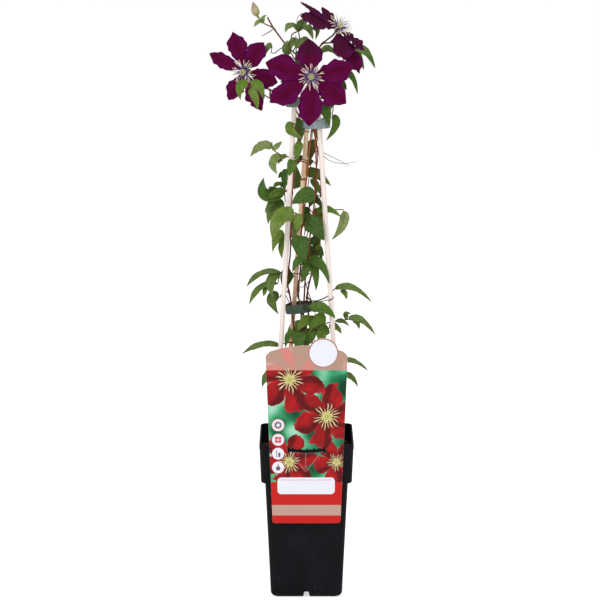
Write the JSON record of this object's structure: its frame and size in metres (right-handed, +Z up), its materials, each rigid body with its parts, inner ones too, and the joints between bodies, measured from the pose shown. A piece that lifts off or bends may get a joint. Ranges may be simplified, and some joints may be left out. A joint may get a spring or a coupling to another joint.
{
  "type": "potted clematis on canes",
  "caption": "Young climbing clematis with deep purple flowers, tied up canes with clip rings, in a tall square nursery pot with a hanging picture label.",
  "frame": {"origin": "centre of the pot's underside, on the surface it stands on", "axes": "+Z up the plant, -Y towards the label and the flowers' faces, +X to the right seen from the label"},
  "size_m": [0.2119, 0.1216, 0.7605],
  "materials": {
    "pot": "matt black",
    "soil": "loose compost",
    "label": "satin print",
    "dowels": "bare wood",
    "cane": "bare bamboo",
    "rings": "satin",
    "wire": "coated wire",
    "vines": "bark",
    "leaves": "satin leaf",
    "tepals": "velvety petal",
    "stamens": "matt",
    "pistils": "matt",
    "bud": "downy",
    "tendrils": "thin stem"
  },
  "bodies": {
    "root": {"pot": "pot", "soil": "soil", "label": "label", "dowel_left": "dowels", "dowel_right": "dowels", "cane": "cane", "ring_crown": "rings", "ring_top": "rings", "ring_middle": "rings", "tie_top": "wire", "tie_upper": "wire", "tie_lower": "wire", "vine_centre": "vines", "vine_right": "vines", "vine_back": "vines", "vine_left": "vines", "leaves_crown": "leaves", "leaves_nape": "leaves", "leaves_gloss": "leaves", "leaves_shoulder": "leaves", "leaves_wing": "leaves", "leaves_bib": "leaves", "leaves_collar_right": "leaves", "leaves_collar_left": "leaves", "leaves_outlook": "leaves", "leaves_locket": "leaves", "leaves_elbow": "leaves", "leaves_apron": "leaves", "leaves_curtain": "leaves", "leaves_lantern": "leaves", "leaves_heart": "leaves", "leaves_handkerchief": "leaves", "leaves_cuff": "leaves", "leaves_tuft": "leaves", "leaves_waist": "leaves", "leaves_drift": "leaves", "leaves_pocket": "leaves", "leaves_beckon": "leaves", "leaves_bridge": "leaves", "leaves_skirt": "leaves", "leaves_sleeve": "leaves", "leaves_tassel": "leaves", "leaves_streamer": "leaves", "leaves_low_right": "leaves", "leaves_low_left": "leaves", "leaves_rear_high": "leaves", "leaves_rear_middle": "leaves", "leaves_rear_low": "leaves", "tepals_left": "tepals", "stamens_left": "stamens", "pistil_left": "pistils", "tepals_middle": "tepals", "stamens_middle": "stamens", "pistil_middle": "pistils", "tepals_right": "tepals", "stamens_right": "stamens", "pistil_right": "pistils", "bud": "bud", "tendrils": "tendrils"}
  },
  "joints": []
}
